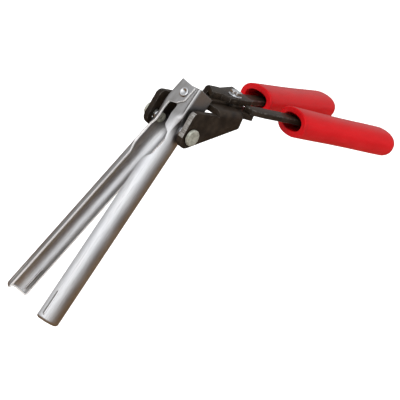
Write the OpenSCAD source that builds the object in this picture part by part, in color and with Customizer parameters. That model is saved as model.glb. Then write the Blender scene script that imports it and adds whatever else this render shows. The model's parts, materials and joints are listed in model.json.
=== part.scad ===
// Squeeze-handled spreading clamp with two long half-tube jaws.
// Origin: main bolt axis, middle of the spine plate.
// X runs back along the handles, Z is the main bolt axis, near side is -Y.

/* [Jaws] */
// Length of each half-tube jaw, tab top to tip
jaw_length = 190; // [140:1:240]
// Outer radius of the half tube
tube_radius = 10; // [9:0.25:13]
// Sheet thickness of the jaws
jaw_wall = 1.5; // [1:0.1:2]
// Gap between the two rims when the jaws are closed
rim_gap = 1; // [0.6:0.1:3]
// Lean of the jaws from the main bolt axis, degrees
lean = 22; // [10:1:35]
// Angle each jaw stands open as drawn, degrees
open_angle = 5.1; // [0:0.1:8]
// Height of the hinge tab above the hinge pin
tab_rise = 7; // [5.5:0.5:9]
// Length of the squared section below the hinge pin
square_length = 11; // [10:0.5:14]
// Corner radius at the jaw tips
tip_radius = 3.5; // [3:0.5:8]

/* [Hinge] */
// Distance from the main bolt forward to the hinge pin
hinge_reach = 45; // [42:0.5:60]
// Distance from the spine plate down to the hinge pin
hinge_drop = 1.7; // [0:0.1:3]
// Hinge pin diameter
pin_diameter = 4.5; // [3:0.25:5]
// Diameter of the hinge barrel
barrel_diameter = 8; // [7:0.25:9]
// Radial play of a turning fit
play = 0.05; // [0.02:0.01:0.1]

/* [Levers] */
// Thickness of the lever plates
plate_thickness = 4.4; // [3:0.1:5]
// Space between a closed jaw and its lever plate
plate_space = 3; // [2.4:0.1:4]
// Distance from the hinge pin down the jaw to the drive rivet
rivet_drop = 23.8; // [21:0.2:25]
// Shank diameter of the drive rivets
rivet_shank = 6; // [4.5:0.25:7]
// Head diameter of the drive rivets
rivet_head = 11.8; // [10.5:0.1:13]
// Width of the handle bars
bar_width = 12; // [9:0.5:14]

/* [Block] */
// Main bolt diameter
bolt_diameter = 5; // [4:0.5:8]
// Thickness of the spine plate
spine_thickness = 2; // [1.5:0.1:3]

/* [Grips] */
// Length of each grip sleeve
grip_length = 122; // [90:1:150]
// Wide diameter of the grip
grip_width = 30; // [26:0.5:34]
// Thin diameter of the grip
grip_height = 21.6; // [19:0.2:24]
// Wall of the grip at its open mouth
grip_wall = 4.6; // [2.5:0.1:5]
// Distance from the main bolt back to the grip mouth, jaws closed
grip_reach = 51; // [46:0.5:60]
// Sideways distance from the centre plane to the grip mouth, jaws closed
grip_offset = 22; // [21:0.5:26]
// Outward angle of each grip with the jaws closed, degrees
grip_angle = 9.5; // [6:0.1:14]

/* [Hidden] */
$fn = 64;
slack = 0.2;
tip_z = tab_rise - jaw_length;
flank_y = rim_gap/2 + tube_radius;
plate_y = flank_y + plate_space;
outer_y = plate_y + plate_thickness;
rivet_x = -0.1;
drive_x = -hinge_reach + rivet_x*cos(lean) - rivet_drop*sin(lean);
drive_z = -hinge_drop - rivet_x*sin(lean) - rivet_drop*cos(lean);
lever_turn = asin(rivet_drop*sin(open_angle)/-drive_x);
full_open = 8.1;
slot_rise = (plate_y*sin(full_open) + rivet_drop*(1 - cos(full_open)))*cos(lean) + 0.4;
head_space = 1.2;
head_height = 2.4;
spacer_height = plate_space - 1;
tab_reach = pin_diameter/2 + 2.75;
fold_y = tab_reach + 2.3;
layer_step = jaw_wall + slack;
barrel_half = tube_radius - jaw_wall - layer_step - slack;
near_top = -spine_thickness/2 - slack;
far_base = spine_thickness/2 + slack;
far_top = far_base + plate_thickness;
web_top = -4.5;
near_start = -32;
far_start = -14;
web_lean = 3.8;
web_end = -4;
web_foot = -12.6;
web_radius = 7;
web_corner = 5;
back_cut = -13;
eye_edge = bolt_diameter/2 + 4.5;
near_corners = [[16, -2], [8, -plate_y - 4]];
far_corners = [[18, eye_edge - 3.5], [20, -plate_y - 9]];
spine_radius = bolt_diameter/2 + 5.5;
bar_in = spine_radius + 1;
bar_shift = 2.6;
mouth_depth = 34;
bar_length = grip_length - 30;
washer_height = 0.8;
bolt_top = far_top + slack + washer_height;
bolt_foot = near_top - plate_thickness - slack - washer_height;

// Sub-part to draw

// Places a part drawn in the jaw frame: x back, z up the jaw, hinge pin on x.
module at_hinge() { translate([-hinge_reach, 0, -hinge_drop]) rotate([0, lean, 0]) children(); }
module near_open() { at_hinge() rotate([-open_angle, 0, 0]) children(); }
module far_open() { at_hinge() rotate([open_angle, 0, 0]) mirror([0, 1, 0]) children(); }
module near_turn() { rotate([0, 0, lever_turn]) children(); }
module far_turn() { rotate([0, 0, -lever_turn]) mirror([0, 1, 0]) children(); }
// Flat outline in (y, z), thickness from x0 towards +x.
module slab_x(x0, t) { translate([x0, 0, 0]) rotate([90, 0, 90]) linear_extrude(height = t) children(); }
// Round bar or disc along -y from y0.
module disc_y(x, y0, z, h, d) { translate([x, y0, z]) rotate([90, 0, 0]) cylinder(h = h, d = d); }

// Channel section open towards +y with outside corner radius r.
module channel_shape(r, inset) {
  w = tube_radius - inset;
  q = r - inset;
  translate([-w, -flank_y + r]) square([2*w, flank_y - r - rim_gap/2]);
  translate([-w + q, -flank_y + inset]) square([2*(w - q), q + 0.01]);
  for (s = [-1, 1]) translate([s*(w - q), -flank_y + r]) circle(q);
}
module channel_wall(r) {
  difference() {
    channel_shape(r, 0);
    channel_shape(r, jaw_wall);
    translate([-tube_radius + jaw_wall, -flank_y/2]) square([2*(tube_radius - jaw_wall), flank_y]);
  }
}
module tube_wall() {
  translate([0, -rim_gap/2]) difference() {
    circle(tube_radius);
    circle(tube_radius - jaw_wall);
    translate([-20, 0]) square([40, 20]);
  }
}
// Front edge of the sheet, cut back below the tab.
module rim_cut_shape() {
  s = -square_length;
  polygon([[-3.5, s], [-3.5, s - 15], [-6.5, s - 21], [-6.5, s - 34], [-rim_gap/2, s - 44],
    [1, s - 44], [1, s]]);
}
module tab_shape() {
  difference() {
    polygon([[-fold_y - jaw_wall, tab_rise], [tab_reach, tab_rise], [tab_reach, -4.5],
      [3, -8], [-3.5, -square_length], [-fold_y - jaw_wall, -square_length]]);
    translate([tab_reach - 1.5, tab_rise - 1.5]) difference() { square(2); circle(1.5); }
  }
}
// Removes the corners of the tip, seen from the flank.
module tip_cut() {
  r = tip_radius;
  for (s = [-1, 1]) translate([s*(tube_radius - r), 1, tip_z + r]) rotate([90, 0, 0])
    linear_extrude(height = flank_y + 2) difference() {
      translate([s > 0 ? 0 : -r - 1, -r - 1]) square([r + 1, r + 1]);
      circle(r);
    }
}
// Jaw sheet; step 1 sets its hinge tab one layer in, step 0 leaves it outside.
module jaw_sheet(step) {
  f = -tube_radius + step*layer_step;
  s = -square_length;
  difference() {
    union() {
      translate([0, 0, tip_z]) linear_extrude(height = s - 18 - tip_z) tube_wall();
      translate([0, 0, s - 19]) linear_extrude(height = 20) channel_wall(5.5);
      translate([0, 0, s]) linear_extrude(height = tab_rise - s) channel_wall(2.6);
    }
    slab_x(-tube_radius - 1, tube_radius + 1) rim_cut_shape();
    translate([-tube_radius - 1, -fold_y, s]) cube([jaw_wall + 1.1, 30, 30]);
    translate([0, -fold_y, back_cut]) cube([tube_radius + 1, 30, 60]);
    disc_y(rivet_x, 0, -rivet_drop, flank_y + 1, rivet_shank);
    tip_cut();
  }
  difference() {
    union() {
      slab_x(f, jaw_wall) tab_shape();
      if (step > 0) translate([-tube_radius + 0.01, -fold_y - jaw_wall, s])
        cube([layer_step + jaw_wall, jaw_wall, tab_rise - s]);
    }
    translate([f - 1, 0, 0]) rotate([0, 90, 0]) cylinder(h = jaw_wall + 2, d = pin_diameter + 2*play);
  }
}
module jaw_rivet() {
  y0 = -flank_y + jaw_wall;
  disc_y(rivet_x, y0, -rivet_drop, outer_y + head_space + y0, rivet_shank);
  disc_y(rivet_x, -outer_y - head_space, -rivet_drop, head_height - 0.8, rivet_head);
  translate([rivet_x, -outer_y - head_space - head_height + 0.8, -rivet_drop]) rotate([90, 0, 0])
    cylinder(h = 0.8, d1 = rivet_head, d2 = rivet_head - 2.4);
}
module jaw_spacer() {
  difference() {
    disc_y(rivet_x, -flank_y, -rivet_drop, spacer_height, rivet_shank + 3.2);
    disc_y(rivet_x, -flank_y + 1, -rivet_drop, spacer_height + 2, rivet_shank);
  }
}
module jaw_clench() {
  difference() {
    translate([rivet_x, -flank_y + jaw_wall, -rivet_drop]) rotate([-90, 0, 0])
      cylinder(h = 1.4, d1 = rivet_shank + 1.8, d2 = rivet_shank - 0.6);
    disc_y(rivet_x, -flank_y + jaw_wall + 2, -rivet_drop, 1.3, rivet_shank/3);
  }
}

// Bent lever plate: web beside the jaw, flange around the bolt, flange top at z1.
// The flange starts at start, and its back end is given as two corners.
module lever_plate(z1, start, end_corners) {
  z0 = z1 - plate_thickness;
  nose = min(start - 1, -24);
  xb = drive_x - 0.7;
  zb = drive_z - 0.8;
  slope = atan((web_foot - zb + web_radius)/(web_end - xb));
  front = atan((web_radius - web_lean)/(web_top - zb));
  xc = xb - web_lean - web_corner*tan(front) + web_corner/cos(front);
  difference() {
    union() {
      translate([0, -plate_y, 0]) rotate([90, 0, 0]) linear_extrude(height = plate_thickness) {
        polygon([[xc, web_top], [xc - web_corner*cos(front), web_top - web_corner + web_corner*sin(front)],
          [xb - web_radius, zb],
          [xb + web_radius*sin(slope), zb - web_radius*cos(slope)], [web_end, web_foot],
          [web_end, z0], [start, z0], [start - 2, web_top]]);
        translate([xb, zb]) circle(web_radius);
        translate([xc, web_top - web_corner]) circle(web_corner);
      }
      translate([start, -plate_y, z0]) rotate([0, 90, 0]) intersection() {
        cylinder(h = web_end - start, r = plate_thickness);
        translate([-plate_thickness, -plate_thickness, 0])
          cube([plate_thickness, plate_thickness, web_end - start]);
      }
      translate([0, 0, z0]) linear_extrude(height = plate_thickness) {
        polygon(concat([[start, -plate_y], [nose, -0.8], [nose, 0.8], [far_start, 0.8], [-11, eye_edge],
          [14, eye_edge - 1]], end_corners, [[web_end, -plate_y]]));
        circle(eye_edge);
      }
    }
    translate([0, 0, z0 - 1]) cylinder(h = plate_thickness + 2, d = bolt_diameter + 2*play);
    translate([0, -plate_y + 1, 0]) rotate([90, 0, 0]) linear_extrude(height = plate_thickness + 2) {
      w = rivet_shank/2 + 0.5;
      translate([drive_x, drive_z - 0.2]) circle(w);
      translate([drive_x, drive_z + slot_rise]) circle(w);
      translate([drive_x - w, drive_z - 0.2]) square([2*w, slot_rise + 0.2]);
    }
  }
}
// Places a part drawn along the grip: x from the mouth towards the closed end.
module at_grip() { translate([grip_reach, -grip_offset, 0]) rotate([0, 0, -grip_angle]) children(); }
// Point in plan, s along the grip from its mouth and v towards the centre plane.
function grip_point(s, v) = [grip_reach + s*cos(grip_angle) + v*sin(grip_angle),
  -grip_offset - s*sin(grip_angle) + v*cos(grip_angle)];
// Flat handle bar, lower face at z0, welded on the flange and run into the grip.
module handle_bar(z0) {
  v0 = bar_shift - bar_width/2;
  v1 = bar_shift + bar_width/2;
  translate([0, 0, z0]) linear_extrude(height = plate_thickness)
    polygon([[4, -bar_in], [17, -bar_in], grip_point(-3, v1), grip_point(bar_length, v1),
      grip_point(bar_length, v0), grip_point(-3, v0), [17, -bar_in - bar_width],
      [4, -bar_in - bar_width + 3]]);
}
module oval(inset) {
  r = grip_height/2;
  c = grip_width/2 - r;
  translate([-r + inset, -c]) square([2*(r - inset), 2*c]);
  for (s = [-1, 1]) translate([0, s*c]) circle(r - inset);
}
module grip_sleeve(z0) {
  r = grip_height/2;
  c = grip_width/2 - r;
  at_grip() difference() {
    union() {
      rotate([0, 90, 0]) linear_extrude(height = grip_length - r) oval(0);
      for (s = [-1, 1]) translate([grip_length - r, s*c, 0]) sphere(r);
      translate([grip_length - r, c, 0]) rotate([90, 0, 0]) cylinder(h = 2*c, r = r);
    }
    translate([-1, 0, 0]) rotate([0, 90, 0]) linear_extrude(height = mouth_depth + 1) oval(grip_wall);
    translate([-2, bar_shift - bar_width/2, z0]) cube([bar_length + 2, bar_width, plate_thickness]);
  }
}

module spine_plate() {
  color("#3a3734") difference() {
    translate([0, 0, -spine_thickness/2]) linear_extrude(height = spine_thickness) {
      circle(spine_radius);
      translate([-hinge_reach + 1, -4]) square([hinge_reach, 8]);
    }
    translate([0, 0, -2]) cylinder(h = 4, d = bolt_diameter);
    at_hinge() rotate([0, 90, 0]) cylinder(h = 30, d = barrel_diameter, center = true);
  }
}
module hinge_barrel() {
  color("#6f7072") at_hinge() rotate([0, 90, 0]) difference() {
    cylinder(h = 2*barrel_half, d = barrel_diameter, center = true);
    cylinder(h = 40, d = pin_diameter, center = true);
  }
}
module hinge_pin() {
  color("#c9cdd2") at_hinge() rotate([0, -90, 0]) difference() {
    union() {
      translate([0, 0, -barrel_half - 2.2]) cylinder(h = tube_radius + barrel_half + 2.4, d = pin_diameter);
      translate([0, 0, tube_radius + slack]) cylinder(h = 1, d1 = pin_diameter + 2.6, d2 = pin_diameter + 1.4);
    }
    translate([0, 0, tube_radius + 0.4]) cylinder(h = 1, d1 = 1, d2 = pin_diameter);
  }
}
module pin_washer() {
  color("#c9cdd2") at_hinge() translate([barrel_half, 0, 0]) rotate([0, 90, 0]) difference() {
    cylinder(h = 1.2, d = pin_diameter + 3);
    translate([0, 0, -1]) cylinder(h = 4, d = pin_diameter);
  }
}
module main_bolt() {
  color("#c9cdd2") {
    translate([0, 0, bolt_foot - 5]) cylinder(h = bolt_top - bolt_foot + 5, d = bolt_diameter);
    translate([0, 0, bolt_top]) cylinder(h = 2.8, d = bolt_diameter*1.85, $fn = 6);
  }
}
module main_nut() {
  color("#c9cdd2") translate([0, 0, bolt_foot - 4]) difference() {
    cylinder(h = 4, d = bolt_diameter*1.85, $fn = 6);
    translate([0, 0, -1]) cylinder(h = 6, d = bolt_diameter);
  }
}
module flat_washer() {
  difference() {
    cylinder(h = washer_height, d = bolt_diameter*2.1);
    translate([0, 0, -1]) cylinder(h = 3, d = bolt_diameter);
  }
}
module top_washer() { color("#a9adb2") translate([0, 0, bolt_top - washer_height]) flat_washer(); }
module bottom_washer() { color("#a9adb2") translate([0, 0, bolt_foot]) flat_washer(); }

module near_jaw() { color("#b9bdc2") near_open() jaw_sheet(1); }
module near_rivet() { color("#c9c7bd") near_open() jaw_rivet(); }
module near_spacer() { color("#a9adb2") near_open() jaw_spacer(); }
module near_clench() { color("#c9c7bd") near_open() jaw_clench(); }
module far_jaw() { color("#b9bdc2") far_open() jaw_sheet(0); }
module far_rivet() { color("#c9c7bd") far_open() jaw_rivet(); }
module far_spacer() { color("#a9adb2") far_open() jaw_spacer(); }
module far_clench() { color("#c9c7bd") far_open() jaw_clench(); }
module near_plate() { color("#2e2a27") near_turn() lever_plate(near_top, near_start, near_corners); }
module near_bar() { color("#26231f") near_turn() handle_bar(near_top); }
module near_grip() { color("#c80d10") near_turn() grip_sleeve(near_top); }
module far_plate() { color("#2e2a27") far_turn() lever_plate(far_top, far_start, far_corners); }
module far_bar() { color("#26231f") far_turn() handle_bar(far_base - plate_thickness); }
module far_grip() { color("#c80d10") far_turn() grip_sleeve(far_base - plate_thickness); }

spine_plate();
hinge_barrel();
hinge_pin();
pin_washer();
main_bolt();
main_nut();
top_washer();
bottom_washer();
near_jaw();
near_rivet();
near_spacer();
near_clench();
far_jaw();
far_rivet();
far_spacer();
far_clench();
near_plate();
near_bar();
near_grip();
far_plate();
far_bar();
far_grip();
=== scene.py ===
"""A squeeze-handled spreading clamp.

Two drawn steel half-tube jaws, blackened lever plates and dipped red grips.
"""

import json
import math

import bmesh
import bpy
from mathutils import Matrix, Vector


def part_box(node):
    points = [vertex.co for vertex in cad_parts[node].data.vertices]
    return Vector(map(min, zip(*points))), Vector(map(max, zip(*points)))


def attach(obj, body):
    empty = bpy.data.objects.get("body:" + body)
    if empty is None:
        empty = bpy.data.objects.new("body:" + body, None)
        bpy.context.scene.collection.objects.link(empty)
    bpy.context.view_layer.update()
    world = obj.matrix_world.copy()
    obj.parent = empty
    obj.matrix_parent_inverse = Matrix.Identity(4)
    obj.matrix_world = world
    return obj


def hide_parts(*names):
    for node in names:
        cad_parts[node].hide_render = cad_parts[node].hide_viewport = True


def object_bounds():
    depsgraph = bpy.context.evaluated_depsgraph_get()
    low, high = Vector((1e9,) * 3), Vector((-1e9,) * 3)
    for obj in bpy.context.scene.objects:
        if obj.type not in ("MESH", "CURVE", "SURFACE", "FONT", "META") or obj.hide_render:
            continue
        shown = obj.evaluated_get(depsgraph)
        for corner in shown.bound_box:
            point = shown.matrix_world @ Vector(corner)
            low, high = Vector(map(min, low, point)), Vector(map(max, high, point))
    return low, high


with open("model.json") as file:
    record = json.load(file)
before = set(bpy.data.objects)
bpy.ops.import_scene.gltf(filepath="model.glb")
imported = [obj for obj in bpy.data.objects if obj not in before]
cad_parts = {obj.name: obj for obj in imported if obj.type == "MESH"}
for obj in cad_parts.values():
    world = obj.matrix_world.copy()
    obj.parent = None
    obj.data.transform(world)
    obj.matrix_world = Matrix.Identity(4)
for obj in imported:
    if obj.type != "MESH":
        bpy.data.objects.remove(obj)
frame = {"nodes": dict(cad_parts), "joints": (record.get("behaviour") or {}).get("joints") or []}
CAD_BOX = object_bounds()
MM = 0.001

# ------------------------------------------------------------ driving sizes, in millimetres

TUBE_RADIUS = 10.0
SHEET = 1.5
HALF_RIM_GAP = 0.5
FLANK = TUBE_RADIUS + HALF_RIM_GAP
TAB_TOP = 7.0
JAW_LENGTH = 190.0
TIP = TAB_TOP - JAW_LENGTH
TAB_STEP = 1.7
SLACK = 0.2
SQUARE_CORNER = 2.6
TAB_CORNER = 0.9
TIP_CORNER = 1.6
LIP = 2.2
ROUND_FROM = 7.0  # depths below the hinge between which the jaw turns from square to round
ROUND_BY = 29.0
LAP_ACROSS = (-9.7, -7.3)  # where the near tab steps over the far one, across the tab
LAP_DOWN = (-18.0, -11.0)  # and down the jaw
JAW_EDGE = 0.28
RIVET_DROP = 23.8
RIVET_X = -0.1
RIVET_HEAD = 11.8
RIVET_SHANK = 3.0
RIVET_HEAD_HEIGHT = 2.4
RIVET_RIM = 0.9
CLENCH_RADIUS = 3.9
SPACER_RADIUS = 4.6
SPACER_HEIGHT = 2.0
BARREL_HALF = TUBE_RADIUS - SHEET - TAB_STEP - SLACK
BARREL_RADIUS = 4.0
PIN_DIAMETER = 4.5
PIN_TAIL = 2.2
PIN_HEAD_RIM = 1.3
PIN_WASHER_RIM = 1.5
PIN_WASHER = 1.2
BOLT_DIAMETER = 5.0
BOLT_CORNERS = BOLT_DIAMETER * 1.85
BOLT_HEAD = 2.8
BARE_SHANK = 7.5
THREAD_PITCH = 0.8
THREAD_DEPTH = 0.42
WASHER_RADIUS = 5.25
WASHER = 0.8
PLATE = 4.4
PLATE_GAP = 3.0  # from the jaw's flank to the lever plate
HEAD_GAP = 1.2  # from the lever plate to the rivet's head
PLATE_EDGE = 0.35
BAR_EDGE = 0.9
SPINE_EDGE = 0.25
GRIP_LENGTH = 122.0
GRIP_WIDTH = 30.0
GRIP_HEIGHT = 21.6
GRIP_WALL = 4.6
MOUTH_DEPTH = 34.0
GRIP_OVAL = 2.3  # 2 is an ellipse, and more is squarer
GRIP_WAIST = 0.03
GRIP_MOUTH = Vector((51.0, -22.0, 0.0))
GRIP_ANGLE = math.radians(9.5)

# ------------------------------------------------------------ places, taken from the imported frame

JOINTS = {joint["name"]: joint for joint in frame["joints"]}
HINGE = Vector(JOINTS["near_jaw_hinge"]["pos_m"]) / MM
HINGE_AXIS = Vector(JOINTS["near_jaw_hinge"]["axis"])
LEAN = math.atan2(HINGE_AXIS.z, -HINGE_AXIS.x)
OPEN = math.radians(-JOINTS["near_jaw_hinge"]["range_deg"][0])
LEVER_TURN = math.radians(-JOINTS["near_lever_hinge"]["range_deg"][0])
MIRROR_Y = Matrix.Scale(-1, 4, (0, 1, 0))


def hinge_place():
    """From the hinge's own frame, x back along the pin and z up, to the part's frame."""
    return Matrix.Translation(HINGE) @ Matrix.Rotation(LEAN, 4, "Y")


def jaw_place(side):
    """From the near jaw's own frame, outside at -y, to the part's frame; the far jaw is its mirror image."""
    if side == "near":
        return hinge_place() @ Matrix.Rotation(-OPEN, 4, "X")
    return hinge_place() @ Matrix.Rotation(OPEN, 4, "X") @ MIRROR_Y


def lever_place(side):
    """From the closed near lever's frame to the part's frame; the far lever is its mirror image."""
    if side == "near":
        return Matrix.Rotation(LEVER_TURN, 4, "Z")
    return Matrix.Rotation(-LEVER_TURN, 4, "Z") @ MIRROR_Y


# ------------------------------------------------------------ camera, floor and light

VIEW_TARGET = Vector((-12.8, -20.4, -70.6)) * MM
VIEW_DISTANCE = 0.73
VIEW_AZIMUTH = math.radians(-53.7)
VIEW_ELEVATION = math.radians(17.53)
VIEW_ROLL = math.radians(24.82)


def add_object(name, data):
    thing = bpy.data.objects.new(name, data)
    bpy.context.scene.collection.objects.link(thing)
    return thing


def aimed(place, target, roll=0.0):
    """The place of something that looks along its own -Z, such as a camera or a lamp."""
    turn = (target - place).to_track_quat("-Z", "Y").to_matrix().to_4x4()
    return Matrix.Translation(place) @ turn @ Matrix.Rotation(roll, 4, "Z")


def direction(azimuth, elevation):
    level = math.cos(elevation)
    return Vector((math.sin(azimuth) * level, -math.cos(azimuth) * level, math.sin(elevation)))


def add_camera():
    camera = add_object("camera", bpy.data.cameras.new("camera"))
    camera.data.sensor_width = 36
    camera.data.lens = 90
    camera.data.clip_start = 0.01
    back = direction(VIEW_AZIMUTH, VIEW_ELEVATION)
    camera.matrix_world = aimed(VIEW_TARGET + back * VIEW_DISTANCE, VIEW_TARGET, VIEW_ROLL)
    bpy.context.scene.camera = camera


def add_soft_lamp(name, azimuth, elevation, strength, spread):
    """Even soft light from one side, which lights dull surfaces and leaves no spot in shiny ones."""
    lamp = add_object(name, bpy.data.lights.new(name, "SUN"))
    lamp.data.energy = strength
    lamp.data.angle = math.radians(spread)
    place = VIEW_TARGET + direction(math.radians(azimuth), math.radians(elevation))
    lamp.matrix_world = aimed(place, VIEW_TARGET)
    lamp.visible_glossy = False


# ------------------------------------------------------------ shader sums

class Wire:
    """One socket of a material's nodes, which sums can be written with."""

    def __init__(self, tree, socket=None):
        self.tree = tree
        self.socket = socket

    def node(self, kind, settings, sockets, out=0):
        """Adds any node: its settings first, then the values or wires of its sockets."""
        made = self.tree.nodes.new(kind)
        for name, value in settings.items():
            if name == "stops":
                self.set_stops(made.color_ramp, value)
            else:
                setattr(made, name, value)
        for name, value in sockets.items():
            if isinstance(value, Wire):
                self.tree.links.new(value.socket, made.inputs[name])
            else:
                made.inputs[name].default_value = value
        return Wire(self.tree, made.outputs[out] if len(made.outputs) else None)

    @staticmethod
    def set_stops(ramp, stops):
        while len(ramp.elements) < len(stops):
            ramp.elements.new(1.0)
        for element, (place, colour) in zip(ramp.elements, stops):
            element.position = place
            element.color = (*colour, 1.0)

    def math(self, operation, *values):
        return self.node("ShaderNodeMath", {"operation": operation}, dict(enumerate(values)))

    def __add__(self, other):
        return self.math("ADD", self, other)

    __radd__ = __add__

    def __sub__(self, other):
        return self.math("SUBTRACT", self, other)

    def __rsub__(self, other):
        return self.math("SUBTRACT", other, self)

    def __mul__(self, other):
        return self.math("MULTIPLY", self, other)

    def __abs__(self):
        return self.math("ABSOLUTE", self)

    def step(self, low, high):
        """0 below low, 1 above high and smooth between; the other way round if high is the smaller."""
        sockets = {"Value": self, "From Min": low, "From Max": high}
        return self.node("ShaderNodeMapRange", {"interpolation_type": "SMOOTHSTEP"}, sockets)

    def step_mm(self, low, high):
        """The same for a coordinate, with low and high in millimetres."""
        return self.step(low * MM, high * MM)

    def tint(self, low, high):
        """The colour low where this wire is 0 and high where it is 1."""
        ends = {6: self.as_colour(low), 7: self.as_colour(high), 0: self}
        return self.node("ShaderNodeMix", {"data_type": "RGBA"}, ends, 2)

    @staticmethod
    def as_colour(value):
        return value if isinstance(value, Wire) else (*value, 1.0)

    def placed(self, to_local):
        """These coordinates, turned and moved into a piece's own frame."""
        where = {"Vector": self, "Location": to_local.to_translation(), "Rotation": to_local.to_euler()}
        return self.node("ShaderNodeMapping", {}, where)

    def stretched(self, x, y, z):
        return self.node("ShaderNodeMapping", {}, {"Vector": self, "Scale": (x, y, z)})

    def noise(self, scale, detail, roughness):
        """Cloudy noise, with scale in features per metre."""
        sockets = {"Vector": self, "Scale": scale, "Detail": detail, "Roughness": roughness}
        return self.node("ShaderNodeTexNoise", {}, sockets)

    def axis(self, index):
        return self.node("ShaderNodeSeparateXYZ", {}, {0: self}, index)


def new_finish(name):
    """An empty material and the wire of its object coordinates."""
    material = bpy.data.materials.new(name)
    material.use_nodes = True
    material.node_tree.nodes.clear()
    place = Wire(material.node_tree).node("ShaderNodeTexCoord", {}, {}, "Object")
    return material, place


def set_surface(material, height, depth, sockets):
    """Joins the surface shader; height is the relief, and depth its size in metres."""
    wire = Wire(material.node_tree)
    relief = {"Height": height, "Strength": 1.0, "Distance": depth}
    normal = wire.node("ShaderNodeBump", {}, relief)
    shader = wire.node("ShaderNodeBsdfPrincipled", {}, {**sockets, "Normal": normal})
    wire.node("ShaderNodeOutputMaterial", {}, {"Surface": shader})
    return material


# ------------------------------------------------------------ finishes

def drawn_steel(name, to_local):
    """Bright drawn sheet: streaks along the jaw, cloudy zinc and faint marks.

    A line is pressed near the tip, with a painted highlight on it and painted shade in a groove beside it.
    Inside there is painted shade at the top and by the lip, and painted light further down.
    Towards the hinge the sheet is darker with mottled grime and painted shade.
    """
    line_turn = math.radians(24)
    groove_turn = math.radians(18)
    material, place = new_finish(name)
    local = place.placed(to_local)
    streaks = local.stretched(1, 1, 0.05).noise(1500, 4, 0.6)
    long_streaks = local.stretched(1, 1, 0.012).noise(420, 2, 0.5)
    grain = local.stretched(1, 1, 0.5).noise(1900, 3, 0.7)
    clouds = local.stretched(1, 1, 0.35).noise(110, 4, 0.55)
    marks = local.stretched(1, 0.25, 0.6).noise(700, 3, 0.65).step(0.66, 0.74)
    x = local.axis(0)
    y = local.axis(1)
    z = local.axis(2)
    depth = abs(y) - HALF_RIM_GAP * MM
    around = y.math("ARCTAN2", depth, abs(x))
    bore = (x * x + depth * depth).math("SQRT").step_mm(9.6, 9.1)
    line = abs(around - line_turn).step(math.radians(3.4), math.radians(1.0))
    groove = abs(around - groove_turn).step(math.radians(3.0), math.radians(1.0))
    inside = x.step_mm(-7.9, -7.3) * x.step_mm(9.7, 9.0) * depth.step_mm(9.5, 8.9)
    lip = TIP + LIP
    by_lip = z.step_mm(lip + 1.3, lip + 0.9) * z.step_mm(lip + 0.1, lip + 0.4)
    # Painted shade inside the half tube near the top, and under the turned-in lip at the tip.
    painted_shade_inside = inside * z.step_mm(-34, -20) + bore * by_lip
    # Painted light on the inside wall further down the jaw.
    painted_light_inside = bore * x.step_mm(-5, 3) * z.step_mm(-30, -46)
    pressed = z.step_mm(TIP + 3.5, TIP + 5) * z.step_mm(TIP + 23, TIP + 21)
    line = line * pressed
    groove = groove * pressed
    # Mottled grime and painted shade, darker towards the hinge.
    grime_and_painted_shade = z.step_mm(-50, -12) * clouds.step(0.35, 0.75)
    # Painted shade at the top of the jaw by the hinge.
    painted_shade_at_top = z.step_mm(-24, -9)
    bright = clouds.step(0.3, 0.72).tint((0.56, 0.565, 0.585), (0.70, 0.705, 0.715))
    streaked = streaks.step(0.42, 0.78).tint(bright, (0.52, 0.52, 0.53))
    # Near-white painted light on the lower inside wall.
    lit = (painted_light_inside * 0.85).tint(streaked, (0.93, 0.94, 0.97))
    # Grime and painted shade darken the sheet towards the hinge.
    grimed_and_shaded = (grime_and_painted_shade * 0.5 + painted_shade_at_top * 0.35).tint(lit, (0.31, 0.30, 0.29))
    # Painted shade along the groove and a painted highlight along the pressed line; both also have relief in
    # the height.
    groove_shaded = (groove * 0.75).tint(grimed_and_shaded, (0.22, 0.21, 0.20))
    line_highlighted = (line * 0.9).tint(groove_shaded, (0.95, 0.95, 0.97))
    # Near-black painted shade inside the half tube.
    colour = (painted_shade_inside * 0.93).tint(line_highlighted, (0.03, 0.026, 0.023))
    rough = 0.29 + streaks * 0.14 + clouds.step(0.35, 0.8) * 0.10 + marks * 0.12
    rough = rough + painted_shade_inside * 0.2 + painted_light_inside * 0.16
    height = streaks * 0.42 + long_streaks * 0.6 + grain * 0.55 + line * 8.0 - groove * 8.0 - marks * 0.3
    return set_surface(material, height, 0.00003, {
        "Base Color": colour, "Metallic": 1.0, "Roughness": rough})


def cut_sheet(name, to_local):
    """The cut edge of the sheet: paler as bare steel and as a painted highlight along the rim, with fine marks
    across its thickness and small burrs.
    """
    material, place = new_finish(name)
    local = place.placed(to_local)
    shear = local.stretched(0.3, 0.3, 1).noise(2400, 3, 0.6)
    burrs = local.noise(900, 3, 0.6)
    # Pale rim colour: bare cut steel, and partly a painted highlight along the rim.
    colour = shear.step(0.3, 0.8).tint((0.80, 0.79, 0.78), (0.52, 0.50, 0.48))
    return set_surface(material, shear + burrs * 0.6, 0.00003, {
        "Base Color": colour, "Metallic": 0.35, "Roughness": 0.26 + burrs * 0.25})


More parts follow.
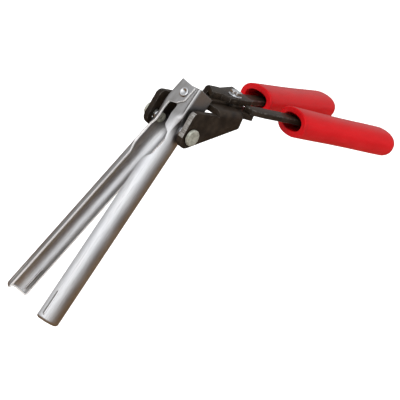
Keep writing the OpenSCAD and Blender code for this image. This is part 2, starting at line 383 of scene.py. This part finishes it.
def blackened_steel(name):
    """Brown-black oxide over rolled plate: cloudy, slightly pitted, with light scratches."""
    material, place = new_finish(name)
    clouds = place.noise(140, 5, 0.6)
    pits = place.noise(2300, 3, 0.6)
    rolled = place.stretched(0.12, 1, 1).noise(1100, 3, 0.6)
    scratches = place.stretched(0.05, 1, 0.35).noise(2000, 2, 0.5).step(0.70, 0.76)
    rubbed = place.noise(320, 4, 0.7).step(0.60, 0.78)
    oxide = clouds.step(0.3, 0.72).tint((0.008, 0.0052, 0.0034), (0.022, 0.0145, 0.009))
    worn = (rubbed * 0.3).tint(oxide, (0.05, 0.038, 0.028))
    colour = (scratches * 0.35).tint(worn, (0.15, 0.13, 0.11))
    rough = 0.34 + pits * 0.16 + clouds * 0.12 - scratches * 0.1
    height = pits * 0.8 + rolled * 0.5 + clouds * 0.8 - scratches * 0.8
    return set_surface(material, height, 0.00006, {
        "Base Color": colour, "Metallic": scratches * 0.5, "Roughness": rough,
        "Specular IOR Level": 0.22})


def rubbed_edge(name):
    """Corners of the blackened pieces, where handling has rubbed the oxide thin."""
    material, place = new_finish(name)
    rubbed = place.noise(420, 5, 0.7).step(0.46, 0.72)
    fine = place.noise(2600, 2, 0.6)
    colour = rubbed.tint((0.022, 0.017, 0.013), (0.20, 0.18, 0.16))
    return set_surface(material, fine, 0.00004, {
        "Base Color": colour, "Metallic": 0.5 + rubbed * 0.4, "Roughness": 0.40 - rubbed * 0.08 + fine * 0.1})


def sheared_steel(name, to_local):
    """Bare sheared edge of thick plate: burnished and torn bands with lines across the thickness."""
    material, place = new_finish(name)
    local = place.placed(to_local)
    lines = local.stretched(0.2, 0.1, 1).noise(1500, 3, 0.65)
    torn = local.stretched(0.6, 1, 0.5).noise(600, 4, 0.7)
    dark = (lines * 0.6 + torn * 0.5).step(0.42, 0.72)
    colour = dark.tint((0.50, 0.49, 0.47), (0.16, 0.145, 0.13))
    return set_surface(material, lines * 1.6 + torn, 0.00008, {
        "Base Color": colour, "Metallic": 0.85, "Roughness": 0.34 + torn * 0.25})


def bright_zinc(name):
    """Bright zinc plating with faint spanner and handling marks."""
    material, place = new_finish(name)
    fine = place.noise(2800, 3, 0.6)
    clouds = place.noise(260, 3, 0.5)
    scuffs = place.stretched(1, 0.3, 1).noise(1300, 2, 0.6).step(0.66, 0.76)
    colour = clouds.step(0.3, 0.75).tint((0.80, 0.82, 0.85), (0.69, 0.70, 0.72))
    rough = 0.20 + clouds * 0.10 + scuffs * 0.15
    return set_surface(material, fine * 0.35 - scuffs * 0.4, 0.00002, {
        "Base Color": colour, "Metallic": 1.0, "Roughness": rough})


def dull_zinc(name):
    """Dull zinc on the drive rivets: mottled, dented by the setting tool."""
    material, place = new_finish(name)
    clouds = place.noise(330, 5, 0.65)
    dents = place.noise(760, 2, 0.5)
    fine = place.noise(3200, 2, 0.7)
    spots = place.noise(900, 3, 0.6).step(0.60, 0.72)
    mottled = clouds.step(0.34, 0.66).tint((0.60, 0.605, 0.53), (0.36, 0.37, 0.31))
    colour = (spots * 0.6).tint(mottled, (0.24, 0.235, 0.19))
    rough = 0.42 + clouds * 0.16 + fine * 0.08
    return set_surface(material, dents * 1.4 + fine * 0.5, 0.00008, {
        "Base Color": colour, "Metallic": 0.72, "Roughness": rough})


def dipped_red(name, to_local):
    """Glossy dipped vinyl: flow ripples, orange peel, scuffs and a little grime at the mouth."""
    material, place = new_finish(name)
    local = place.placed(to_local)
    flow = local.stretched(0.25, 1, 1).noise(90, 3, 0.5)
    peel = local.noise(900, 2, 0.5)
    fine = local.noise(3000, 2, 0.6)
    scuffs = local.stretched(0.3, 1, 1).noise(520, 4, 0.7).step(0.60, 0.74)
    along = local.axis(0)
    grime = along.step_mm(14, 0) * local.noise(260, 4, 0.65).step(0.48, 0.72)
    red = flow.step(0.3, 0.7).tint((0.34, 0.0016, 0.0036), (0.40, 0.0030, 0.0052))
    scuffed = (scuffs * 0.22).tint(red, (0.50, 0.03, 0.03))
    colour = (grime * 0.3).tint(scuffed, (0.12, 0.008, 0.008))
    rough = 0.30 + flow * 0.08 + scuffs * 0.16 + grime * 0.15
    height = flow * 2.2 + peel * 0.8 + fine * 0.12 - scuffs * 0.35
    return set_surface(material, height, 0.00008, {
        "Base Color": colour, "Roughness": rough, "Coat Weight": 0.06 - scuffs * 0.05,
        "Coat Roughness": 0.08, "Specular IOR Level": 0.12})


# ------------------------------------------------------------ finished pieces

def to_finish_frame(place):
    """From the part's frame in metres back to a piece's own frame, without its mirroring."""
    plain = place @ MIRROR_Y if place.to_3x3().determinant() < 0 else place
    scaled = Matrix.Translation(plain.to_translation() * MM) @ plain.to_3x3().to_4x4()
    return scaled.inverted()


def add_piece(node, shape, place, body, finishes):
    """Puts a bmesh drawn in millimetres in its place as a piece that stands for a CAD node."""
    bmesh.ops.transform(shape, matrix=Matrix.Scale(MM, 4) @ place, verts=shape.verts)
    mesh = bpy.data.meshes.new(node + "_shape")
    if place.to_3x3().determinant() < 0:
        bmesh.ops.reverse_faces(shape, faces=shape.faces)
    for face in shape.faces:
        face.smooth = True
    shape.to_mesh(mesh)
    shape.free()
    for finish in finishes:
        mesh.materials.append(finish)
    piece = add_object(node + "_piece", mesh)
    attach(piece, body)
    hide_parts(node)
    return piece


def smooth_step(value, low, high):
    """0 below low, 1 above high and smooth between."""
    share = min(max((value - low) / (high - low), 0.0), 1.0)
    return share * share * (3 - 2 * share)


def eased(points, z):
    """A smooth line through (z, y) points, listed from the top down."""
    if z >= points[0][0]:
        return points[0][1]
    for (z_high, y_high), (z_low, y_low) in zip(points, points[1:]):
        if z >= z_low:
            return y_high + (y_low - y_high) * smooth_step(z_high - z, 0, z_high - z_low)
    return points[-1][1]


# ------------------------------------------------------------ jaws

# Free edges of the jaw sheet as (height, y) from the tab's top down, outside at -y.
FRONT_EDGE = {
    "far": [(TAB_TOP, 5.0), (-4.0, 4.9), (-8.4, 1.4), (-11.5, -5.0), (-27.0, -4.2), (-32.5, -6.3),
            (-45.5, -6.3), (-56.0, -1.6)],
    "near": [(TAB_TOP, 5.0), (-5.0, 4.8), (-10.5, 0.2), (-24.7, -1.2), (-30.5, -6.0), (-36.0, -7.0),
             (-46.0, -5.6), (-55.5, -HALF_RIM_GAP)],
}
BACK_EDGE = [(-12.5, -7.3), (-17.5, -HALF_RIM_GAP)]


def section_reach(edge_y, corner):
    """Length of sheet from the middle of the flank round to a free edge at edge_y."""
    flat = TUBE_RADIUS - corner
    if edge_y > corner - FLANK:
        return flat + corner * math.pi / 2 + edge_y + FLANK - corner
    return flat + corner * math.acos(1 - (edge_y + FLANK) / corner)


def section_point(reach, corner):
    """Where the sheet is, that far from the middle of the flank, as (x, y)."""
    flat = TUBE_RADIUS - corner
    bend = corner * math.pi / 2
    if reach < flat:
        return reach, -FLANK
    if reach < flat + bend:
        turn = (reach - flat) / corner
        return flat + corner * math.sin(turn), -FLANK + corner * (1 - math.cos(turn))
    return TUBE_RADIUS, -FLANK + corner + reach - flat - bend


def jaw_heights():
    """Heights of the rows of the sheet, close together round the tab, cut-outs and tip."""
    heights = [TAB_TOP - 0.5 * row for row in range(128)]
    while heights[-1] > TIP + 9:
        heights.append(heights[-1] - 3)
    while heights[-1] > TIP + LIP + 0.3:
        heights.append(heights[-1] - 0.6)
    return heights


def corner_cut(below, radius):
    """How much of its reach the sheet loses, that far into a rounded corner."""
    return radius - math.sqrt(max(radius**2 - max(below, 0.0)**2, 0.0))


def jaw_sheet(side):
    """The pressed half tube: square with a lapped tab at the top, cut back below, its tip turned in."""
    lip_rows = 7
    columns = 34
    rows = [(height, 0.0) for height in jaw_heights()]
    for row in range(lip_rows + 1):
        turn = math.radians(80) * row / lip_rows
        rows.append((TIP + LIP - LIP * math.sin(turn), LIP * (1 - math.cos(turn))))
    shape = bmesh.new()
    across = 2 * columns
    bmesh.ops.create_grid(shape, x_segments=across, y_segments=len(rows) - 1, size=0.5)
    for vert in shape.verts:
        share = vert.co.x * 2
        row = round((0.5 - vert.co.y) * (len(rows) - 1))
        vert.co = jaw_point(side, share, *rows[row])
    return shape


def jaw_point(side, share, height, inset):
    """A point of the sheet: share runs from -1 at the front free edge to 1 at the back one."""
    corner = SQUARE_CORNER + (TUBE_RADIUS - SQUARE_CORNER) * smooth_step(-height, ROUND_FROM, ROUND_BY)
    front = share < 0
    edge = eased(FRONT_EDGE[side] if front else BACK_EDGE, height)
    reach = section_reach(edge, corner) - corner_cut(TIP + TIP_CORNER - height, TIP_CORNER)
    if front:
        reach -= corner_cut(height - TAB_TOP + TAB_CORNER, TAB_CORNER)
    reach *= abs(share)
    x, y = section_point(reach, corner)
    if front:
        x = -x
    if front and side == "near":
        x += TAB_STEP * smooth_step(y, *LAP_ACROSS) * smooth_step(height, *LAP_DOWN)
    shrink = 1 - inset / TUBE_RADIUS
    return Vector((x * shrink, (y + HALF_RIM_GAP) * shrink - HALF_RIM_GAP, height))


def add_jaw(side):
    place = jaw_place(side)
    local = to_finish_frame(place)
    finishes = [drawn_steel(side + "_drawn_steel", local), cut_sheet(side + "_cut_sheet", local)]
    shape = jaw_sheet(side)
    bmesh.ops.recalc_face_normals(shape, faces=shape.faces)
    outside = sum(face.normal.y for face in shape.faces)
    if outside > 0:
        bmesh.ops.reverse_faces(shape, faces=shape.faces)
    jaw = add_piece(side + "_jaw", shape, place, side + "_jaw_set", finishes)
    wall = jaw.modifiers.new("wall", "SOLIDIFY")
    wall.thickness = SHEET * MM
    wall.offset = -1
    wall.material_offset_rim = 1
    edge = jaw.modifiers.new("edge", "BEVEL")
    edge.width = JAW_EDGE * MM
    edge.segments = 2
    edge.limit_method = "ANGLE"
    edge.angle_limit = math.radians(50)
    # The bevelled edges take the paler cut-edge finish, which is partly a painted highlight.
    edge.material = 1


# ------------------------------------------------------------ grips

def oval_point(turn, along, half_height, half_width):
    """A point of the sleeve's full oval, at a turn round its axis."""
    roundness = 2 / GRIP_OVAL
    up = math.copysign(abs(math.cos(turn))**roundness, math.cos(turn))
    out = math.copysign(abs(math.sin(turn))**roundness, math.sin(turn))
    return Vector((along, half_width * out, half_height * up))


def grip_outline():
    """Rings of the sleeve as (along, half height, half width), from deep in the mouth to the closed end."""
    high = GRIP_HEIGHT / 2
    wide = GRIP_WIDTH / 2
    inner_round = 0.7
    outer_round = 1.1
    mouth = [(MOUTH_DEPTH, 0.72), (MOUTH_DEPTH - 2, 0.94), (MOUTH_DEPTH - 5, 1.0),
             (20, 1.0), (8, 1.0), (3, 1.0)]
    rings = [(along, (high - GRIP_WALL) * k, (wide - GRIP_WALL) * k) for along, k in mouth]
    for step in range(5):
        turn = math.pi / 2 * step / 4
        inset = GRIP_WALL - inner_round * (1 - math.cos(turn))
        rings.append((inner_round * (1 - math.sin(turn)), high - inset, wide - inset))
    for step in range(6):
        turn = math.pi / 2 * step / 5
        inset = outer_round * (1 - math.sin(turn))
        rings.append((outer_round * (1 - math.cos(turn)), high - inset, wide - inset))
    end_round = high + 1
    straight = 26
    for step in range(1, straight + 1):
        along = outer_round + (GRIP_LENGTH - end_round - outer_round) * step / straight
        waist = 1 - GRIP_WAIST * math.sin(math.pi * min(along / (GRIP_LENGTH - end_round), 1.0))**2
        rings.append((along, high * waist, wide * waist))
    for step in range(1, 16):
        turn = math.pi / 2 * step / 16
        rings.append((GRIP_LENGTH - end_round + end_round * math.sin(turn),
                      high * math.cos(turn), wide * math.cos(turn)**0.85))
    return rings


def grip_sleeve():
    """The dipped sleeve: thick wall at its open mouth, a soft waist and a rounded closed end."""
    rings = grip_outline()
    shape = bmesh.new()
    bmesh.ops.create_grid(shape, x_segments=64, y_segments=len(rings) - 1, size=0.5)
    for vert in shape.verts:
        ring = round((vert.co.y + 0.5) * (len(rings) - 1))
        vert.co = oval_point(math.tau * (vert.co.x + 0.5), *rings[ring])
    bmesh.ops.remove_doubles(shape, verts=shape.verts, dist=0.001)
    bmesh.ops.holes_fill(shape, edges=[edge for edge in shape.edges if edge.is_boundary], sides=0)
    bmesh.ops.recalc_face_normals(shape, faces=shape.faces)
    return shape


def add_grip(side):
    at_mouth = Matrix.Translation(GRIP_MOUTH) @ Matrix.Rotation(-GRIP_ANGLE, 4, "Z")
    place = lever_place(side) @ at_mouth
    finish = dipped_red(side + "_dipped_red", to_finish_frame(place))
    add_piece(side + "_grip", grip_sleeve(), place, side + "_lever", [finish])


# ------------------------------------------------------------ plates and bars, refined from their CAD solids

def refined(node, width, segments):
    """A copy of a CAD solid with its doubles merged, its flats made whole and its sharp edges broken."""
    shape = bmesh.new()
    shape.from_mesh(frame["nodes"][node].data)
    bmesh.ops.scale(shape, vec=(1 / MM, 1 / MM, 1 / MM), verts=shape.verts)
    bmesh.ops.remove_doubles(shape, verts=shape.verts, dist=0.002)
    bmesh.ops.dissolve_limit(shape, angle_limit=math.radians(0.6), verts=shape.verts, edges=shape.edges,
                             use_dissolve_boundaries=False, delimit=set())
    sharp = [edge for edge in shape.edges
             if edge.is_manifold and edge.calc_face_angle(0.0) > math.radians(24)]
    bmesh.ops.bevel(shape, geom=sharp, offset=width, offset_type="OFFSET", affect="EDGES",
                    segments=segments, profile=0.5, material=1, clamp_overlap=True)
    return shape


def flat_shaded(piece, angle):
    """Keeps the flats flat and the rounds smooth."""
    piece.data.set_sharp_from_angle(angle=math.radians(angle))


def add_plate(side, finishes):
    """Lever plate; the near one shows its bare sheared face in front, above the rivet."""
    shape = refined(side + "_plate", PLATE_EDGE, 2)
    for face in shape.faces:
        middle = face.calc_center_median()
        forward = face.normal.x < -0.55 and abs(face.normal.y) < 0.4
        above_rivet = middle.z > HINGE.z - RIVET_DROP * math.cos(LEAN)
        if side == "near" and forward and above_rivet and face.material_index == 0 and middle.x < -40:
            face.material_index = 2
    plate = add_piece(side + "_plate", shape, Matrix.Identity(4), side + "_lever", finishes)
    flat_shaded(plate, 32)


def add_bar(side, finishes):
    shape = refined(side + "_bar", BAR_EDGE, 3)
    bar = add_piece(side + "_bar", shape, Matrix.Identity(4), side + "_lever", finishes)
    flat_shaded(bar, 32)


def add_spine(finishes):
    shape = refined("spine_plate", SPINE_EDGE, 2)
    spine = add_piece("spine_plate", shape, Matrix.Identity(4), "spine", finishes)
    flat_shaded(spine, 32)


# ------------------------------------------------------------ turned pieces

def turned(outline, segments=64):
    """Spins an outline of (radius, height) points about z; a radius of 0 closes the end."""
    shape = bmesh.new()
    verts = [shape.verts.new((radius, 0, height)) for radius, height in outline]
    edges = [shape.edges.new(pair) for pair in zip(verts, verts[1:])]
    bmesh.ops.spin(shape, geom=verts + edges, cent=(0, 0, 0), axis=(0, 0, 1), angle=math.tau,
                   steps=segments, use_merge=True)
    bmesh.ops.remove_doubles(shape, verts=shape.verts, dist=0.0005)
    bmesh.ops.recalc_face_normals(shape, faces=shape.faces)
    return shape


def arc(centre_radius, centre_height, radius, start, end, steps):
    """Points of a round corner in an outline, angles in degrees from the outward direction."""
    points = []
    for step in range(steps + 1):
        turn = math.radians(start + (end - start) * step / steps)
        points.append((centre_radius + radius * math.cos(turn), centre_height + radius * math.sin(turn)))
    return points


def outward(side, x, y, height):
    """A frame on a jaw with its z pointing out of the flank."""
    return jaw_place(side) @ Matrix.Translation((x, y, height)) @ Matrix.Rotation(math.radians(90), 4, "X")


def add_turned(node, shape, place, body, finish, angle=35):
    flat_shaded(add_piece(node, shape, place, body, [finish]), angle)


def bush(inner, outer, low, high, rounding):
    """A plain collar with its outer corners rounded."""
    return turned([(inner, low), *arc(outer - rounding, low + rounding, rounding, -90, 0, 3),
                   *arc(outer - rounding, high - rounding, rounding, 0, 90, 3), (inner, high), (inner, low)])


def add_rivet(side, finish):
    """Drive rivet: shank, broad flat head with a rolled rim and a shallow dish left by the setting tool."""
    head = RIVET_HEAD / 2
    shank_end = FLANK - SHEET
    seat = FLANK + PLATE_GAP + PLATE + HEAD_GAP
    top = seat + RIVET_HEAD_HEIGHT
    outline = [(0, shank_end), (RIVET_SHANK, shank_end), (RIVET_SHANK, seat), (head - 0.4, seat)]
    outline += arc(head - 0.4, seat + 0.4, 0.4, -70, 0, 4)
    outline += arc(head - RIVET_RIM, top - RIVET_RIM, RIVET_RIM, 0, 78, 7)
    outline += [(head - 1.6, top - 0.03), (head - 2.4, top - 0.1), (head * 0.4, top - 0.18), (0, top - 0.2)]
    add_turned(side + "_rivet", turned(outline), outward(side, RIVET_X, 0, -RIVET_DROP),
               side + "_jaw_set", finish)


def add_spacer(side, finish):
    """Collar between the jaw and its lever plate."""
    shape = bush(RIVET_SHANK, SPACER_RADIUS, FLANK, FLANK + SPACER_HEIGHT, 0.25)
    add_turned(side + "_spacer", shape, outward(side, RIVET_X, 0, -RIVET_DROP),
               side + "_jaw_set", finish)


def add_clench(side, finish):
    """Rivet tail spread inside the half tube, with the punch's dimple."""
    base = FLANK - SHEET
    outline = [(0, base), (CLENCH_RADIUS, base), *arc(3.2, base - 0.7, 0.7, 0, -80, 4),
               (2.2, base - 1.4), (1.3, base - 1.35), (0.7, base - 0.9), (0, base - 0.7)]
    add_turned(side + "_clench", turned(outline, 48), outward(side, RIVET_X, 0, -RIVET_DROP),
               side + "_jaw_set", finish)


def add_pin(finish):
    """Hinge pin: shank through both tabs and the barrel, low head with a punched dimple."""
    shank = PIN_DIAMETER / 2
    head = shank + PIN_HEAD_RIM
    seat = TUBE_RADIUS + SLACK
    foot = -BARREL_HALF - PIN_TAIL
    outline = [(0, foot), *arc(shank - 0.4, foot + 0.4, 0.4, -90, 0, 3), (shank, seat), (head - 0.2, seat)]
    outline += arc(head - 0.45, seat + 0.45, 0.45, -60, 60, 6)
    outline += [(head - 0.6, seat + 0.95), (2.5, seat + 1.0), (2.2, seat + 0.9), (1.5, seat + 0.45),
                (0.7, seat + 0.24), (0, seat + 0.2)]
    towards_front = hinge_place() @ Matrix.Rotation(math.radians(-90), 4, "Y")
    add_turned("hinge_pin", turned(outline), towards_front, "spine", finish)


def add_barrel(finish):
    """Bush that the jaws hinge on."""
    along_pin = hinge_place() @ Matrix.Rotation(math.radians(90), 4, "Y")
    add_turned("hinge_barrel", bush(PIN_DIAMETER / 2, BARREL_RADIUS, -BARREL_HALF, BARREL_HALF, 0.4),
               along_pin, "spine", finish)


def washer(inner, outer, thickness):
    """Stamped washer: rounded on its top rim, sharp below."""
    outline = [(inner, 0), (outer - 0.05, 0), (outer, 0.06),
               *arc(outer - 0.3, thickness - 0.3, 0.3, 0, 90, 4),
               (inner + 0.15, thickness), (inner, thickness - 0.12), (inner, 0)]
    return turned(outline)


def add_washers(finish):
    """One washer above the levers, one below, and one at the back end of the hinge pin."""
    top = Matrix.Translation((0, 0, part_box("top_washer")[0].z / MM))
    bottom = Matrix.Translation((0, 0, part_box("bottom_washer")[1].z / MM)) @ Matrix.Rotation(math.pi, 4, "X")
    for name, place in (("top_washer", top), ("bottom_washer", bottom)):
        add_turned(name, washer(BOLT_DIAMETER / 2, WASHER_RADIUS, WASHER), place,
                   "spine", finish)
    at_end = Matrix.Translation((BARREL_HALF, 0, 0)) @ Matrix.Rotation(math.radians(90), 4, "Y")
    add_turned("pin_washer", washer(PIN_DIAMETER / 2, PIN_DIAMETER / 2 + PIN_WASHER_RIM, PIN_WASHER),
               hinge_place() @ at_end, "spine", finish)


def hexagon_reach(turn, across_corners):
    """Distance from the axis to a hexagon's side in a direction."""
    flat = across_corners / 2 * math.cos(math.pi / 6)
    from_middle = turn % (math.pi / 3) - math.pi / 6
    return flat / math.cos(from_middle)


def hexagon(levels, across_corners, inner):
    """A hexagonal head or nut: levels are (height, largest radius), which chamfers the corners."""
    outline = [(inner, levels[0][0])] + [(radius, height) for height, radius in levels]
    outline += [(inner, levels[-1][0])]
    if inner > 0:
        outline += [(inner, levels[0][0])]
    shape = turned(outline, 96)
    for vert in shape.verts:
        reach = math.hypot(vert.co.x, vert.co.y)
        if reach > inner + 0.01:
            limit = hexagon_reach(math.atan2(vert.co.y, vert.co.x), across_corners)
            if reach > limit:
                vert.co.x *= limit / reach
                vert.co.y *= limit / reach
    return shape


def add_bolt(finish):
    """Main bolt: chamfered hexagon head, bare shank, and thread down to its end."""
    low, high = (corner.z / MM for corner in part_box("main_bolt"))
    seat = high - BOLT_HEAD
    big = BOLT_CORNERS / 2
    flat = big * math.cos(math.pi / 6)
    levels = [(seat, flat - 0.1), (seat + 0.25, big), (high - 0.3, big), (high, flat + 0.1),
              (high, flat - 1.2)]
    shape = hexagon(levels, BOLT_CORNERS, 0)
    shank = BOLT_DIAMETER / 2
    root = shank - THREAD_DEPTH
    outline = [(0, low), (root - 0.1, low)]
    height = low + 0.3
    while height < seat - BARE_SHANK:
        outline += [(shank, height), (shank, height + 0.1), (root, height + THREAD_PITCH / 2)]
        height += THREAD_PITCH
    outline += [(shank, height), (shank, seat + 0.1), (0, seat + 0.1)]
    thread = turned(outline, 48)
    joined = bpy.data.meshes.new("thread")
    thread.to_mesh(joined)
    thread.free()
    shape.from_mesh(joined)
    bpy.data.meshes.remove(joined)
    add_turned("main_bolt", shape, Matrix.Identity(4), "spine", finish, 25)


def add_nut(finish):
    """Main nut, chamfered both ends."""
    low, high = (corner.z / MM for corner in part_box("main_nut"))
    big = BOLT_CORNERS / 2
    flat = big * math.cos(math.pi / 6)
    levels = [(low, BOLT_DIAMETER / 2 + 0.3), (low, flat - 0.25), (low + 0.1, flat + 0.05), (low + 0.6, big),
              (high - 0.6, big), (high - 0.1, flat + 0.05), (high, flat - 0.25)]
    add_turned("main_nut", hexagon(levels, BOLT_CORNERS, BOLT_DIAMETER / 2), Matrix.Identity(4), "spine",
               finish, 25)


# ------------------------------------------------------------ floor and surroundings

FLOOR_DROP = 0.16
WINDOW_AZIMUTH = -60.0
WINDOW_ELEVATION = 20.0


def add_floor():
    """A plain pale floor, well below the clamp."""
    shape = bmesh.new()
    bmesh.ops.create_grid(shape, x_segments=1, y_segments=1, size=30)
    level = CAD_BOX[0][2] - FLOOR_DROP
    bmesh.ops.translate(shape, vec=(0, 0, level), verts=shape.verts)
    mesh = bpy.data.meshes.new("floor")
    shape.to_mesh(mesh)
    shape.free()
    material, place = new_finish("pale_floor")
    mottle = place.noise(3, 2, 0.5)
    colour = mottle.tint((0.93, 0.93, 0.93), (0.95, 0.95, 0.95))
    set_surface(material, mottle, 0.0001, {
        "Base Color": colour, "Roughness": 0.9,
        "Emission Color": (1.0, 1.0, 1.0, 1.0), "Emission Strength": 0.2})
    mesh.materials.append(material)
    floor = add_object("floor", mesh)
    floor.visible_glossy = False


def add_surroundings():
    """Soft light all round: a window behind the viewer, grey walls, and warm wood brown from below."""
    world = bpy.data.worlds.new("studio")
    world.use_nodes = True
    world.node_tree.nodes.clear()
    wire = Wire(world.node_tree)
    heading = wire.node("ShaderNodeTexCoord", {}, {}, "Generated")
    height = heading.axis(2)
    window = direction(math.radians(WINDOW_AZIMUTH), math.radians(WINDOW_ELEVATION))
    facing = heading.node("ShaderNodeVectorMath", {"operation": "DOT_PRODUCT"},
                          {0: heading, 1: window}, "Value")
    glow = facing.step(0.15, 0.75) * 0.50 + facing.step(0.78, 0.97) * 0.85
    above = height.step(-0.06, 0.16)
    walls = (glow + 0.45) * above
    below = height.step(0.04, -0.22)
    ground = below.tint((0.07, 0.06, 0.055), (0.21, 0.125, 0.062))
    sky = wire.node("ShaderNodeCombineColor", {}, {0: walls * 0.97, 1: walls * 0.985, 2: walls})
    both = wire.node("ShaderNodeMix", {"data_type": "RGBA", "blend_type": "ADD"},
                     {0: 1.0, 6: sky, 7: ground}, 2)
    light = wire.node("ShaderNodeBackground", {}, {"Color": both, "Strength": 1.0})
    wire.node("ShaderNodeOutputWorld", {}, {"Surface": light})
    bpy.context.scene.world = world


add_camera()
add_surroundings()
add_floor()
add_soft_lamp("key", azimuth=-75, elevation=50, strength=2.3, spread=50)
add_soft_lamp("fill", azimuth=30, elevation=35, strength=0.9, spread=80)
bpy.context.scene.view_settings.view_transform = "Standard"

black = [blackened_steel("blackened_steel"), rubbed_edge("rubbed_edge")]
bright = bright_zinc("bright_zinc")
dull = dull_zinc("dull_zinc")
for side in ("near", "far"):
    sheared = sheared_steel(side + "_sheared_steel", to_finish_frame(lever_place(side)))
    add_jaw(side)
    add_rivet(side, dull)
    add_clench(side, dull)
    add_spacer(side, bright)
    add_plate(side, black + [sheared])
    add_bar(side, black)
    add_grip(side)
add_spine(black)
add_pin(bright)
add_barrel(bright)
add_washers(bright)
add_bolt(bright)
add_nut(bright)
